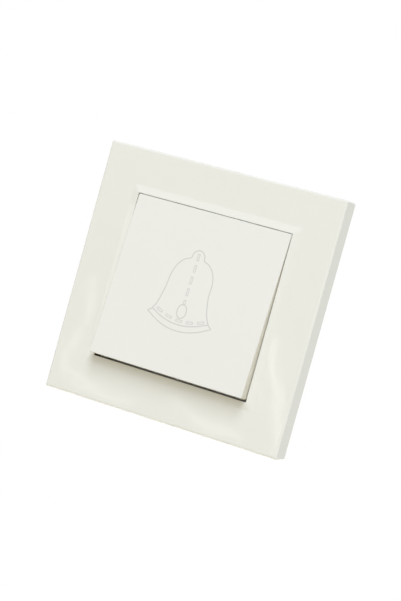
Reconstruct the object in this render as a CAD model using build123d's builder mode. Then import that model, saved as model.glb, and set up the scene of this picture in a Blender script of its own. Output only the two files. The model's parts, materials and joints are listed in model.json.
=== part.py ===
from build123d import *
import math
import os

# Flush-mounted bell push: cover frame, sprung rocker, contacts, steel ring and spreading claws.
# Millimetres. X runs to the right, Y into the wall and Z up.
# The wall is the plane Y = 0, and heights are measured from it towards the room.

# Cover frame
frame_side = 82.0
frame_depth = 8.0
frame_wall = 2.0
frame_skin = 2.0
frame_corner_radius = 0.5
frame_edge_radius = 0.7
collar_width = 2.4
collar_land = 0.3
collar_height = 0.45
collar_corner_radius = 0.8
collar_foot_radius = 3.0
bezel_wall = 1.4
bezel_stand_off = 2.4
rib_thickness = 1.2
rib_height = 3.0
rib_pitch = 22.0
hook_width = 7.0
hook_thickness = 1.3
hook_gap = 0.2
nose_height = 1.3
nose_ramp = 0.9

# Rocker and its carrier
rocker_side_gap = 0.2
rocker_end_gap = 0.5
rocker_clearance = 1.25
rocker_skin = 2.0
rocker_wall = 1.6
rocker_skirt = 7.0
rocker_corner_radius = 0.5
rocker_edge_cut = 0.2
rocker_tilt = 5.2
rocker_rib_thickness = 1.0
rocker_rib_height = 1.2
rocker_rib_pitch = 40.0
pivot_depth = 5.0
carrier_width = 30.0
carrier_height = 26.0
carrier_plate = 1.6
cheek_thickness = 2.0
cheek_radius = 2.4
trunnion_radius = 1.5
trunnion_gap = 0.06
leg_width = 8.0
leg_thickness = 1.2
leg_gap = 0.1
leg_nose = 0.8

# Bearing cover, riveted in front of the insert
cover_thickness = 1.6
bearing_thickness = 2.4
bearing_radius = 2.4
bearing_side_gap = 0.4
window_gap = 0.5

# Steel support ring
ring_margin = 3.5
ring_thickness = 1.2
ring_bend_radius = 0.6
ring_corner_cut = 9.0
ring_fit = 0.2
box_screw_spacing = 60.0
box_slot_width = 3.6
box_slot_length = 6.0
lug_width = 10.0
lug_height = 5.2
lug_window_height = 1.8
lug_window_level = 2.0
lug_relief_width = 1.2
lug_relief_depth = 2.4
lug_corner_gap = 0.3
rivet_radius = 1.5
rivet_gap = 0.05
rivet_head_radius = 2.6
rivet_head_height = 0.7
rivet_inset = 3.5

# Insert: a tub with the terminal block behind it
flange_lip = 1.5
flange_thickness = 2.0
flange_corner_radius = 3.0
base_width = 42.0
base_height = 44.0
base_corner_cut = 8.0
base_wall = 2.0
base_edge_cut = 0.8
tub_floor_depth = 9.0
tub_floor_thickness = 2.0
terminal_depth = 20.0
terminal_back_wall = 2.8
back_rib_height = 1.5
back_rib_width = 1.4
back_rib_pitch = 10.0
back_rib_count = 3
block_core_depth = 6.0

# Contact lever, strips and tips
strip_thickness = 1.0
strip_width = 4.6
lever_depth = 4.2
lever_thickness = 0.8
lever_width = 4.0
lever_lower_arm = 5.4
lever_upper_arm = 10.8
lever_tilt = 8.0
lever_swing = 14.0
lever_tab = 1.2
ear_thickness = 0.8
ear_gap = 0.6
ear_notch_gap = 0.13
ear_half_width = 1.6
tip_arm = 9.0
tip_radius = 1.4
tip_height = 0.8
closed_gap = 0.15
plunger_radius = 1.5
plunger_gap = 0.05
plunger_length = 7.0
plunger_nose_size = 0.7
plunger_reach_gap = 0.25
tube_wall = 1.05
tube_length = 6.9
tube_roof = 1.2

# Coil springs, with the wire's sides and the steps in each turn
wire_side_count = 6
turn_step_count = 12
return_spring_radius = 2.2
return_spring_wire = 0.5
return_spring_turns = 6.0
return_spring_arm = 9.5
spring_seat_depth = 2.0
spring_seat_radius = 2.9
spring_guide_radius = 1.4
spring_guide_length = 2.0
spring_end_gap = 0.1
plunger_spring_radius = 1.05
plunger_spring_wire = 0.35
plunger_spring_turns = 5.0

# Cage terminals
terminal_offset = 9.0
wire_space = 3.2
wire_hole_radius = 1.5
wire_funnel_radius = 2.3
wire_funnel_angle = 90.0
cage_length = 6.0
cage_side_wall = 1.1
cage_roof = 1.2
cage_floor = 1.6
cage_window_height = 6.4
cage_tongue_gap = 0.3
cage_travel = 2.0
cage_gap = 0.4
terminal_screw_radius = 1.5
terminal_screw_gap = 0.06
terminal_head_radius = 2.3
terminal_head_height = 2.0
terminal_head_inset = 0.3
terminal_head_gap = 0.3
screw_tip_gap = 0.1
driver_slot_width = 0.8
driver_slot_depth = 0.9

# Spreading claws
claw_thickness = 1.4
claw_width = 8.0
claw_length = 20.0
claw_depth = 8.0
claw_tooth = 1.6
claw_tooth_count = 3
claw_bend_radius = 0.8
claw_base_gap = 0.3
claw_leg_offset = 2.6
claw_slot_gap = 0.1
claw_slot_play = 0.55
claw_screw_offset = 3.0
claw_screw_radius = 1.75
claw_screw_gap = 0.1
claw_screw_length = 24.0
claw_head_radius = 3.2
claw_head_height = 2.2
claw_head_gap = 0.5

# Worked out from the sizes above
tilt = math.radians(rocker_tilt)
ring_side = frame_side - 2 * (frame_wall + ring_margin)
hook_pitch = ring_side - lug_width - 2 * (ring_corner_cut + lug_relief_width + lug_corner_gap)
flange_side = max(base_width, base_height) + 2 * flange_lip
opening_side = flange_side + 2 * (rocker_clearance + rocker_wall + rocker_end_gap)
rocker_width = opening_side - 2 * rocker_side_gap
rocker_height = opening_side - 2 * rocker_end_gap
face_height = frame_depth + collar_height + rocker_height / 2 * math.sin(tilt)
pivot_height = face_height - pivot_depth
carrier_level = pivot_depth - rocker_skin
flange_height = ring_thickness + flange_thickness
cover_height = flange_height + cover_thickness
claw_x = base_width / 2 + claw_screw_offset
rivet_reach = flange_side / 2 - rivet_inset
rivet_places = ((-rivet_reach, rivet_reach), (rivet_reach, -rivet_reach))
strip_depth = tub_floor_depth - strip_thickness
bearing_x = carrier_width / 2 + bearing_side_gap
inner_half = frame_side / 2 - frame_wall
bezel_half = opening_side / 2 + bezel_wall

# Levels of the cage terminals, from the insert's lower edge up
head_bottom = -base_height / 2 + terminal_head_inset
head_top = head_bottom + terminal_head_height
cage_bottom = head_top + terminal_head_gap + cage_travel
cage_inside_bottom = cage_bottom + cage_floor
cage_inside_top = cage_inside_bottom + cage_window_height
cage_top = cage_inside_top + cage_roof
tongue_top = cage_inside_top - wire_space
tongue_bottom = tongue_top - strip_thickness
cage_width = strip_width + 2 * cage_tongue_gap + 2 * cage_side_wall
pocket_bottom = head_top + terminal_head_gap / 2
pocket_top = cage_top + cage_gap
pocket_back = terminal_depth - terminal_back_wall
cage_back = pocket_back - cage_gap
cage_middle = cage_back - cage_length / 2
wire_level = tongue_top + wire_space / 2
terminal_places = (-terminal_offset, terminal_offset)


def wall_at(height):
    """Plane parallel to the wall, this far in front of it and facing the room."""
    return Plane.XZ.offset(height)


rocker_frame = Plane(
    origin=(0, -pivot_height, 0),
    x_dir=(1, 0, 0),
    z_dir=(0, -math.cos(tilt), math.sin(tilt)),
)
lever_lean = math.radians(lever_tilt)
lever_frame = Plane(
    origin=(0, lever_depth, 0),
    x_dir=(1, 0, 0),
    z_dir=(0, -math.cos(lever_lean), -math.sin(lever_lean)),
)


def rocker_at(level):
    """Plane parallel to the rocker's face, this far in front of its pivot."""
    return rocker_frame.offset(level)


def rocker_side_at(offset):
    """Plane across the pivot axis, this far to the right, with its first axis up the rocker."""
    origin = rocker_frame.origin + rocker_frame.x_dir * offset
    return Plane(origin=origin, x_dir=rocker_frame.y_dir, z_dir=rocker_frame.x_dir)


def base_outline(growth):
    """Cut-corner outline of the insert, grown by a clearance or shrunk by a wall."""
    with BuildSketch() as outline:
        Rectangle(base_width, base_height)
        chamfer(outline.vertices(), base_corner_cut)
        if growth:
            offset(amount=growth, kind=Kind.INTERSECTION, mode=Mode.REPLACE)
    return outline.sketch


# Cover frame, moulded hollow, with the raised collar round its opening
hook_inner_x = ring_side / 2 + hook_gap
nose_length = hook_gap + ring_thickness
rib_length = inner_half - bezel_half
cavity_height = frame_depth - frame_skin
nose_level = lug_window_level + (lug_window_height - nose_height) / 2


def snap_hook(offset_z):
    """Right-hand hook that hangs from the frame's skin, with a ramped nose for the ring's lug."""
    with BuildPart() as hook:
        with BuildSketch(Plane.XY.offset(offset_z)):
            with BuildLine():
                Polyline(
                    (hook_inner_x, -cavity_height),
                    (hook_inner_x, -nose_level - nose_height),
                    (hook_inner_x - nose_length, -nose_level - nose_height),
                    (hook_inner_x - nose_length, -nose_level - nose_ramp),
                    (hook_inner_x, -nose_level),
                    (hook_inner_x + hook_thickness, -nose_level),
                    (hook_inner_x + hook_thickness, -cavity_height),
                    close=True,
                )
            make_face()
        extrude(amount=hook_width / 2, both=True)
    return hook.part


with BuildPart() as cover_frame:
    with BuildSketch(wall_at(0)):
        RectangleRounded(frame_side, frame_side, frame_corner_radius)
    extrude(amount=frame_depth)
    front_face = cover_frame.faces().sort_by(Axis.Y)[0]
    fillet(front_face.edges(), frame_edge_radius)
    collar_foot = opening_side + 2 * collar_width
    collar_crest = opening_side + 2 * collar_land
    with BuildSketch(wall_at(frame_depth)):
        RectangleRounded(collar_foot, collar_foot, collar_corner_radius)
    with BuildSketch(wall_at(frame_depth + collar_height)):
        RectangleRounded(collar_crest, collar_crest, collar_corner_radius)
    loft()
    front_face = cover_frame.faces().filter_by(Axis.Y).sort_by(Axis.Y)[1]
    fillet(front_face.inner_wires()[0].edges(), collar_foot_radius)
    with BuildSketch(wall_at(0)):
        Rectangle(2 * inner_half, 2 * inner_half)
    extrude(amount=cavity_height, mode=Mode.SUBTRACT)
    with BuildSketch(wall_at(ring_thickness + bezel_stand_off)):
        Rectangle(2 * bezel_half, 2 * bezel_half)
    extrude(amount=cavity_height - ring_thickness - bezel_stand_off)
    with BuildSketch(wall_at(cavity_height - rib_height)):
        with PolarLocations(bezel_half + rib_length / 2, 4):
            with GridLocations(0, rib_pitch, 1, 2):
                Rectangle(rib_length, rib_thickness)
    extrude(amount=rib_height)
    for offset_z in (-hook_pitch / 2, hook_pitch / 2):
        add(snap_hook(offset_z))
        add(mirror(snap_hook(offset_z), about=Plane.YZ))
    with BuildSketch(wall_at(0)):
        Rectangle(opening_side, opening_side)
    extrude(amount=frame_depth + collar_height, mode=Mode.SUBTRACT)

# Rocker cap, moulded hollow, with stiffening ribs and the two legs that clip onto the carrier
leg_offset = carrier_height / 2 + leg_gap + leg_thickness / 2
leg_depth = carrier_plate + leg_gap + leg_nose
with BuildPart() as rocker_button:
    with BuildSketch(rocker_at(pivot_depth - rocker_skirt)):
        RectangleRounded(rocker_width, rocker_height, rocker_corner_radius)
    extrude(amount=rocker_skirt)
    rocker_face = rocker_button.faces().sort_by(Axis.Y)[0]
    chamfer(rocker_face.edges(), rocker_edge_cut)
    inside_width = rocker_width - 2 * rocker_wall
    inside_height = rocker_height - 2 * rocker_wall
    with BuildSketch(rocker_at(pivot_depth - rocker_skirt)):
        Rectangle(inside_width, inside_height)
    extrude(amount=rocker_skirt - rocker_skin, mode=Mode.SUBTRACT)
    with BuildSketch(rocker_at(carrier_level)):
        with GridLocations(rocker_rib_pitch, 0, 2, 1):
            Rectangle(rocker_rib_thickness, inside_height)
        with GridLocations(0, rocker_rib_pitch, 1, 2):
            Rectangle(inside_width, rocker_rib_thickness)
    extrude(amount=-rocker_rib_height)
    with BuildSketch(rocker_at(carrier_level)):
        with GridLocations(0, 2 * leg_offset, 1, 2):
            Rectangle(leg_width, leg_thickness)
    extrude(amount=-leg_depth)
    with BuildSketch(rocker_at(carrier_level - carrier_plate - leg_gap)):
        with GridLocations(0, 2 * leg_offset - leg_thickness - leg_nose, 1, 2):
            Rectangle(leg_width, leg_nose)
    extrude(amount=-leg_nose)

# Carrier: a plate with two cheeks and trunnions, the plunger's tube and a guide for the return spring
tube_radius = plunger_radius + plunger_gap + tube_wall
carrier_back = carrier_level - carrier_plate
cheek_x = carrier_width / 2 - cheek_thickness
trunnion_length = bearing_side_gap + bearing_thickness
with BuildPart() as rocker_carrier:
    with BuildSketch(rocker_at(carrier_back)):
        Rectangle(carrier_width, carrier_height)
    extrude(amount=carrier_plate)
    with BuildSketch(rocker_side_at(cheek_x)):
        Circle(cheek_radius)
        Rectangle(2 * cheek_radius, carrier_level, align=(Align.CENTER, Align.MIN))
    extrude(amount=cheek_thickness)
    with BuildSketch(rocker_side_at(carrier_width / 2)):
        Circle(trunnion_radius)
    extrude(amount=trunnion_length)
    mirror(about=Plane.YZ)
    with BuildSketch(rocker_at(carrier_back)):
        Circle(tube_radius)
    extrude(amount=-tube_length)
    with BuildSketch(rocker_at(carrier_back - tube_length)):
        Circle(plunger_radius + plunger_gap)
    extrude(amount=tube_length + carrier_plate - tube_roof, mode=Mode.SUBTRACT)
    with BuildSketch(rocker_at(carrier_back)):
        with Locations((0, -return_spring_arm)):
            Circle(spring_guide_radius)
    extrude(amount=-spring_guide_length)

# Plunger, round-nosed, which ends just short of the contact lever
plunger_tip = pivot_height + lever_depth - lever_thickness / 2 - plunger_reach_gap
plunger_top = plunger_length - plunger_tip
with BuildPart() as contact_plunger:
    with BuildSketch(rocker_at(-plunger_tip)):
        Circle(plunger_radius)
    extrude(amount=plunger_length)
    plunger_nose = contact_plunger.edges().filter_by(GeomType.CIRCLE).sort_by(Axis.Y)[-1]
    chamfer(plunger_nose, plunger_nose_size)


def coil(start, direction, length, radius, wire, turns):
    """Coil between two end planes, from the point where its axis starts, with few faces."""
    axis_frame = Plane(origin=start + direction * (wire / 2), z_dir=direction)
    step_count = round(turns * turn_step_count)
    step_angle = 2 * math.pi / turn_step_count
    step_rise = (length - wire) / step_count
    points = []
    for step in range(step_count + 1):
        side = radius * math.cos(step * step_angle)
        height = radius * math.sin(step * step_angle)
        points.append(axis_frame.from_local_coords((side, height, step * step_rise)))
    with BuildPart() as spring:
        with BuildLine() as path:
            Polyline(*points)
        with BuildSketch(Plane(origin=path.line @ 0, z_dir=path.line % 0)):
            RegularPolygon(wire / 2, wire_side_count)
        sweep(path=path.line, transition=Transition.RIGHT)
    return spring


# Springs: one in the plunger's tube, one between the insert and the carrier
plunger_spring_end = carrier_level - tube_roof - spring_end_gap
plunger_spring_start = rocker_at(plunger_top + spring_end_gap).origin
plunger_spring = coil(
    plunger_spring_start,
    rocker_frame.z_dir,
    plunger_spring_end - plunger_top - spring_end_gap,
    plunger_spring_radius,
    plunger_spring_wire,
    plunger_spring_turns,
)
return_spring_z = -return_spring_arm * math.cos(tilt)
spring_contact_arm = return_spring_arm - return_spring_radius - return_spring_wire / 2
return_spring_top = pivot_height + carrier_back * math.cos(tilt) + spring_contact_arm * math.sin(tilt)
return_spring = coil(
    Vector(0, spring_seat_depth - spring_end_gap, return_spring_z),
    Vector(0, -1, 0),
    spring_seat_depth + return_spring_top - 2 * spring_end_gap,
    return_spring_radius,
    return_spring_wire,
    return_spring_turns,
)

# Bearing cover: a plate with a cross-shaped window and two lugs for the trunnions
head_notch_radius = claw_head_radius + claw_head_gap
window_width = carrier_width + 2 * window_gap
cheek_window = 2 * (cheek_radius + window_gap)
spring_window = 2 * (return_spring_arm + spring_seat_radius + window_gap)
with BuildPart() as mechanism_cover:
    with BuildSketch(Plane.YZ.offset(bearing_x)):
        with Locations((-pivot_height, 0)):
            Circle(bearing_radius)
        with Locations((-flange_height, 0)):
            Rectangle(pivot_height - flange_height, 2 * bearing_radius, align=(Align.MAX, Align.CENTER))
    extrude(amount=bearing_thickness)
    mirror(about=Plane.YZ)
    with BuildSketch(wall_at(flange_height)):
        RectangleRounded(flange_side, flange_side, flange_corner_radius)
        Rectangle(window_width, max(cheek_window, 2 * (tube_radius + window_gap)), mode=Mode.SUBTRACT)
        Rectangle(2 * (spring_seat_radius + window_gap), spring_window, mode=Mode.SUBTRACT)
        with GridLocations(2 * claw_x, 0, 2, 1):
            Circle(head_notch_radius, mode=Mode.SUBTRACT)
        with Locations(*rivet_places):
            Circle(rivet_radius + rivet_gap, mode=Mode.SUBTRACT)
    extrude(amount=cover_thickness)
    with BuildSketch(Plane.YZ):
        with Locations((-pivot_height, 0)):
            Circle(trunnion_radius + trunnion_gap)
    extrude(amount=bearing_x + bearing_thickness, both=True, mode=Mode.SUBTRACT)

# Support ring, pressed from sheet, with upright lugs that the frame's hooks snap into
lug_x = ring_side / 2 - ring_thickness / 2


def is_lug_bend(point):
    """True for a point at the foot of a lug, outside on the back or inside on the front."""
    off_middle = abs(abs(point.Z) - hook_pitch / 2)
    outside = abs(abs(point.X) - ring_side / 2) + abs(point.Y)
    inside = abs(abs(point.X) - ring_side / 2 + ring_thickness) + abs(point.Y + ring_thickness)
    return off_middle + min(outside, inside) < ring_bend_radius / 2


with BuildPart() as support_ring:
    with BuildSketch(wall_at(0)) as ring_outline:
        Rectangle(ring_side, ring_side)
        chamfer(ring_outline.vertices(), ring_corner_cut)
        add(base_outline(ring_fit), mode=Mode.SUBTRACT)
        with GridLocations(0, box_screw_spacing, 1, 2):
            SlotOverall(box_slot_length, box_slot_width, rotation=90, mode=Mode.SUBTRACT)
        with GridLocations(2 * claw_x, 0, 2, 1):
            Circle(claw_screw_radius + claw_screw_gap, mode=Mode.SUBTRACT)
        with Locations(*rivet_places):
            Circle(rivet_radius + rivet_gap, mode=Mode.SUBTRACT)
        relief_pitch = lug_width + lug_relief_width
        with GridLocations(ring_side - lug_relief_depth, hook_pitch, 2, 2):
            with GridLocations(0, relief_pitch, 1, 2):
                Rectangle(lug_relief_depth, lug_relief_width, mode=Mode.SUBTRACT)
    extrude(amount=ring_thickness)
    with BuildSketch(wall_at(0)):
        with GridLocations(2 * lug_x, hook_pitch, 2, 2):
            Rectangle(ring_thickness, lug_width)
    extrude(amount=lug_height)
    lug_edges = support_ring.edges().filter_by(Axis.Z).filter_by(lambda edge: is_lug_bend(edge.center()))
    fillet(lug_edges.group_by(Axis.Y)[-1], ring_thickness)
    fillet(lug_edges.group_by(Axis.Y)[0], ring_bend_radius)
    with BuildSketch(wall_at(lug_window_level)):
        with GridLocations(2 * lug_x, hook_pitch, 2, 2):
            Rectangle(2 * ring_thickness, hook_width + 2 * hook_gap)
    extrude(amount=lug_window_height, mode=Mode.SUBTRACT)

# Two rivets, at opposite corners, through the bearing cover, the insert's flange and the ring
with BuildPart() as ring_rivets:
    with BuildSketch(wall_at(0)):
        with Locations(*rivet_places):
            Circle(rivet_radius)
    extrude(amount=cover_height)
    with BuildSketch(wall_at(cover_height)):
        with Locations(*rivet_places):
            Circle(rivet_head_radius)
    extrude(amount=rivet_head_height)
    with BuildSketch(wall_at(0)):
        with Locations(*rivet_places):
            Circle(rivet_head_radius)
    extrude(amount=-rivet_head_height)

# Insert: flange, tub, terminal block with its pockets, wire holes and screw holes
block_half = terminal_offset + cage_width / 2 + cage_gap + base_wall
block_top = pocket_top + base_wall
tub_back = tub_floor_depth + tub_floor_thickness
pocket_width = cage_width + 2 * cage_gap
with BuildPart() as mechanism_base:
    with BuildSketch(wall_at(-tub_back)):
        add(base_outline(0))
    extrude(amount=tub_back + flange_height)
    with BuildSketch(wall_at(-terminal_depth)):
        add(base_outline(0))
        with Locations((0, block_top)):
            Rectangle(2 * block_half, base_height, align=(Align.CENTER, Align.MAX), mode=Mode.INTERSECT)
    extrude(amount=terminal_depth - tub_floor_depth)
    block_back = mechanism_base.faces().sort_by(Axis.Y)[-1]
    chamfer(block_back.edges(), base_edge_cut)
    with BuildSketch(wall_at(-tub_back)):
        with GridLocations(back_rib_pitch, 0, back_rib_count, 1):
            with Locations((0, block_top)):
                rib_span = base_height / 2 - base_wall - block_top
                Rectangle(back_rib_width, rib_span, align=(Align.CENTER, Align.MIN))
    extrude(amount=-back_rib_height)
    with BuildSketch(wall_at(ring_thickness)):
        RectangleRounded(flange_side, flange_side, flange_corner_radius)
        with Locations(*rivet_places):
            Circle(rivet_radius + rivet_gap, mode=Mode.SUBTRACT)
    extrude(amount=flange_thickness)
    with BuildSketch(wall_at(ring_thickness)):
        with GridLocations(2 * claw_x, 0, 2, 1):
            Circle(head_notch_radius)
    extrude(amount=flange_thickness, mode=Mode.SUBTRACT)
    with BuildSketch(wall_at(flange_height)):
        add(base_outline(-base_wall))
    extrude(amount=-(flange_height + tub_floor_depth), mode=Mode.SUBTRACT)
    with BuildSketch(wall_at(-pocket_back)):
        with GridLocations(2 * terminal_offset, 0, 2, 1):
            with Locations((0, pocket_bottom)):
                Rectangle(pocket_width, pocket_top - pocket_bottom, align=(Align.CENTER, Align.MIN))
    extrude(amount=pocket_back - tub_floor_depth, mode=Mode.SUBTRACT)
    with BuildSketch(wall_at(-terminal_depth)):
        with Locations((0, pocket_bottom)):
            core_width = 2 * (terminal_offset - base_wall) - pocket_width
            Rectangle(core_width, pocket_top - pocket_bottom, align=(Align.CENTER, Align.MIN))
    extrude(amount=block_core_depth, mode=Mode.SUBTRACT)
    with Locations(*[Plane((x, terminal_depth, wire_level), z_dir=(0, 1, 0)) for x in terminal_places]):
        CounterSinkHole(wire_hole_radius, wire_funnel_radius, terminal_back_wall, wire_funnel_angle)
    with BuildSketch(Plane.XY.offset(-base_height / 2)):
        with Locations(*[(x, cage_middle) for x in terminal_places]):
            Circle(terminal_head_radius + terminal_head_gap)
    extrude(amount=pocket_bottom + base_height / 2, mode=Mode.SUBTRACT)
    with BuildSketch(wall_at(-tub_floor_depth)):
        with Locations((0, return_spring_z)):
            Circle(spring_seat_radius)
    extrude(amount=tub_floor_depth - spring_seat_depth)
    with BuildSketch(wall_at(-spring_seat_depth)):
        with Locations((0, return_spring_z)):
            Circle(spring_guide_radius)
    extrude(amount=spring_guide_length)

# Brass strips: each lies on the tub's floor and ends in a tongue that enters its cage
ear_x = lever_width / 2 + ear_gap
notch_radius = math.hypot(lever_tab, lever_thickness) / 2 + ear_notch_gap
tongue_end = pocket_back - cage_gap / 2


def terminal_tongue(offset_x):
    """Tongue bent back from a strip into its cage."""
    with BuildPart() as tongue:
        with BuildSketch(wall_at(-tongue_end)):
            with Locations((offset_x, tongue_bottom)):
                Rectangle(strip_width, strip_thickness, align=(Align.CENTER, Align.MIN))
        extrude(amount=tongue_end - strip_depth)
    return tongue.part


def lever_ear(offset_x):
    """Ear bent up from the strip, notched for one of the lever's tabs."""
    ear_height = strip_depth - lever_depth + notch_radius
    with BuildPart() as ear:
        with BuildSketch(Plane.YZ.offset(offset_x)):
            with Locations((strip_depth, 0)):
                Rectangle(ear_height, 2 * ear_half_width, align=(Align.MAX, Align.CENTER))
            with Locations((lever_depth, 0)):
                Circle(notch_radius, mode=Mode.SUBTRACT)
                Rectangle(ear_height, 2 * notch_radius, align=(Align.MAX, Align.CENTER), mode=Mode.SUBTRACT)
        extrude(amount=ear_thickness)
    return ear.part


with BuildPart() as pivot_strip:
    with BuildSketch(wall_at(-tub_floor_depth)):
        with Locations((-terminal_offset, tongue_bottom)):
            Rectangle(strip_width, ear_half_width - tongue_bottom, align=(Align.CENTER, Align.MIN))
        with Locations((-terminal_offset - strip_width / 2, 0)):
            crossing = terminal_offset + strip_width / 2 + ear_x + ear_thickness
            Rectangle(crossing, 2 * ear_half_width, align=(Align.MIN, Align.CENTER))
    extrude(amount=strip_thickness)
    add(terminal_tongue(-terminal_offset))
    add(lever_ear(ear_x))
    add(lever_ear(-ear_x - ear_thickness))

with BuildPart() as fixed_strip:
    with BuildSketch(wall_at(-tub_floor_depth)):
        with Locations((terminal_offset, tongue_bottom)):
            strip_top = tip_arm + strip_width / 2
            Rectangle(strip_width, strip_top - tongue_bottom, align=(Align.CENTER, Align.MIN))
        with Locations((terminal_offset + strip_width / 2, tip_arm)):
            reach = terminal_offset + strip_width
            Rectangle(reach, strip_width, align=(Align.MAX, Align.CENTER))
    extrude(amount=strip_thickness)
    add(terminal_tongue(terminal_offset))

# Contact lever on its tabs, and the two silver tips
with BuildPart() as contact_lever:
    with BuildSketch(lever_frame.offset(-lever_thickness / 2)):
        with Locations((0, -lever_lower_arm)):
            Rectangle(lever_width, lever_lower_arm + lever_upper_arm, align=(Align.CENTER, Align.MIN))
        Rectangle(2 * (ear_x + ear_thickness), lever_tab)
    extrude(amount=lever_thickness)

with BuildPart() as lever_tip:
    with BuildSketch(lever_frame.offset(-lever_thickness / 2)):
        with Locations((0, tip_arm)):
            Circle(tip_radius)
    extrude(amount=-tip_height)

closed_lean = math.radians(lever_swing - lever_tilt)
tip_reach = (lever_thickness / 2 + tip_height) * math.cos(closed_lean)
tip_drop = (tip_arm + tip_radius) * math.sin(closed_lean)
fixed_tip_front = lever_depth + tip_reach + tip_drop + closed_gap
with BuildPart() as fixed_tip:
    with BuildSketch(wall_at(-strip_depth)):
        with Locations((0, tip_arm)):
            Circle(tip_radius)
    extrude(amount=strip_depth - fixed_tip_front)


def clamp_cage(offset_x):
    """Cage that is drawn down on the wire: a loop with a threaded floor."""
    with BuildPart() as cage:
        with BuildSketch(wall_at(-cage_back)):
            with Locations((offset_x, cage_bottom)):
                Rectangle(cage_width, cage_top - cage_bottom, align=(Align.CENTER, Align.MIN))
            with Locations((offset_x, cage_inside_bottom)):
                inside = (cage_width - 2 * cage_side_wall, cage_window_height)
                Rectangle(*inside, align=(Align.CENTER, Align.MIN), mode=Mode.SUBTRACT)
        extrude(amount=cage_length)
        with BuildSketch(Plane.XY.offset(cage_bottom)):
            with Locations((offset_x, cage_middle)):
                Circle(terminal_screw_radius + terminal_screw_gap)
        extrude(amount=cage_floor, mode=Mode.SUBTRACT)
    return cage


def terminal_screw(offset_x):
    """Screw whose tip bears on the tongue, with its slotted head in the insert's lower wall."""
    with BuildPart() as screw:
        with BuildSketch(Plane.XY.offset(head_bottom)):
            with Locations((offset_x, cage_middle)):
                Circle(terminal_head_radius)
        extrude(amount=terminal_head_height)
        with BuildSketch(Plane.XY.offset(head_top)):
            with Locations((offset_x, cage_middle)):
                Circle(terminal_screw_radius)
        extrude(amount=tongue_bottom - screw_tip_gap - head_top)
        with BuildSketch(Plane.XY.offset(head_bottom)):
            with Locations((offset_x, cage_middle)):
                Rectangle(2 * terminal_head_radius, driver_slot_width)
        extrude(amount=driver_slot_depth, mode=Mode.SUBTRACT)
    return screw


clamp_cage_left = clamp_cage(-terminal_offset)
clamp_cage_right = clamp_cage(terminal_offset)
terminal_screw_left = terminal_screw(-terminal_offset)
terminal_screw_right = terminal_screw(terminal_offset)

# Claws: a slotted foot on the screw, a leg along the insert and a toothed end bent outwards
claw_front = claw_depth - claw_thickness / 2
claw_end = claw_front + claw_length
claw_inner_x = base_width / 2 + claw_base_gap
claw_leg_x = claw_x + claw_leg_offset
claw_outer_x = claw_leg_x + claw_thickness
tooth_width = claw_width / claw_tooth_count
with BuildPart() as claw_right:
    with BuildSketch(Plane.XY):
        with BuildLine():
            FilletPolyline(
                (claw_inner_x, claw_front + claw_thickness),
                (claw_leg_x, claw_front + claw_thickness),
                (claw_leg_x, claw_end),
                (claw_outer_x + claw_tooth, claw_end),
                radius=claw_bend_radius,
            )
            offset(amount=claw_thickness, side=Side.RIGHT)
        make_face()
    extrude(amount=claw_width / 2, both=True)
    with BuildSketch(wall_at(-claw_front - claw_thickness)):
        with Locations((claw_x, 0)):
            slot_width = 2 * (claw_screw_radius + claw_slot_gap)
            SlotOverall(2 * (claw_screw_radius + claw_slot_play), slot_width)
    extrude(amount=claw_thickness, mode=Mode.SUBTRACT)
    with BuildSketch(wall_at(-claw_end)):
        with Locations((claw_outer_x + claw_tooth, 0)):
            with GridLocations(0, tooth_width, 1, claw_tooth_count - 1):
                Triangle(a=tooth_width, b=tooth_width, c=tooth_width, rotation=90)
    extrude(amount=claw_thickness, mode=Mode.SUBTRACT)
with BuildPart() as claw_left:
    mirror(claw_right.part, about=Plane.YZ)


def claw_screw(offset_x):
    """Claw screw, headed in front of the ring, with a driver slot."""
    with BuildPart() as screw:
        with BuildSketch(wall_at(ring_thickness)):
            with Locations((offset_x, 0)):
                Circle(claw_screw_radius)
        extrude(amount=-claw_screw_length)
        with BuildSketch(wall_at(ring_thickness)):
            with Locations((offset_x, 0)):
                Circle(claw_head_radius)
        extrude(amount=claw_head_height)
        with BuildSketch(wall_at(ring_thickness + claw_head_height)):
            with Locations((offset_x, 0)):
                Rectangle(2 * claw_head_radius, driver_slot_width)
        extrude(amount=-driver_slot_depth, mode=Mode.SUBTRACT)
    return screw


claw_screw_left = claw_screw(-claw_x)
claw_screw_right = claw_screw(claw_x)

pieces = {
    "cover_frame": cover_frame,
    "rocker_button": rocker_button,
    "rocker_carrier": rocker_carrier,
    "contact_plunger": contact_plunger,
    "plunger_spring": plunger_spring,
    "return_spring": return_spring,
    "mechanism_cover": mechanism_cover,
    "mechanism_base": mechanism_base,
    "support_ring": support_ring,
    "ring_rivets": ring_rivets,
    "pivot_strip": pivot_strip,
    "fixed_strip": fixed_strip,
    "contact_lever": contact_lever,
    "lever_tip": lever_tip,
    "fixed_tip": fixed_tip,
    "clamp_cage_left": clamp_cage_left,
    "clamp_cage_right": clamp_cage_right,
    "terminal_screw_left": terminal_screw_left,
    "terminal_screw_right": terminal_screw_right,
    "claw_left": claw_left,
    "claw_right": claw_right,
    "claw_screw_left": claw_screw_left,
    "claw_screw_right": claw_screw_right,
}
os.makedirs("parts", exist_ok=True)
for name, piece in pieces.items():
    piece.part.label = name
    export_step(piece.part, f"parts/{name}.step")
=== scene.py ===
import json
import math

import bmesh
import bpy
from bpy.props import FloatProperty, FloatVectorProperty, IntProperty, PointerProperty
from mathutils import Matrix, Vector


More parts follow.
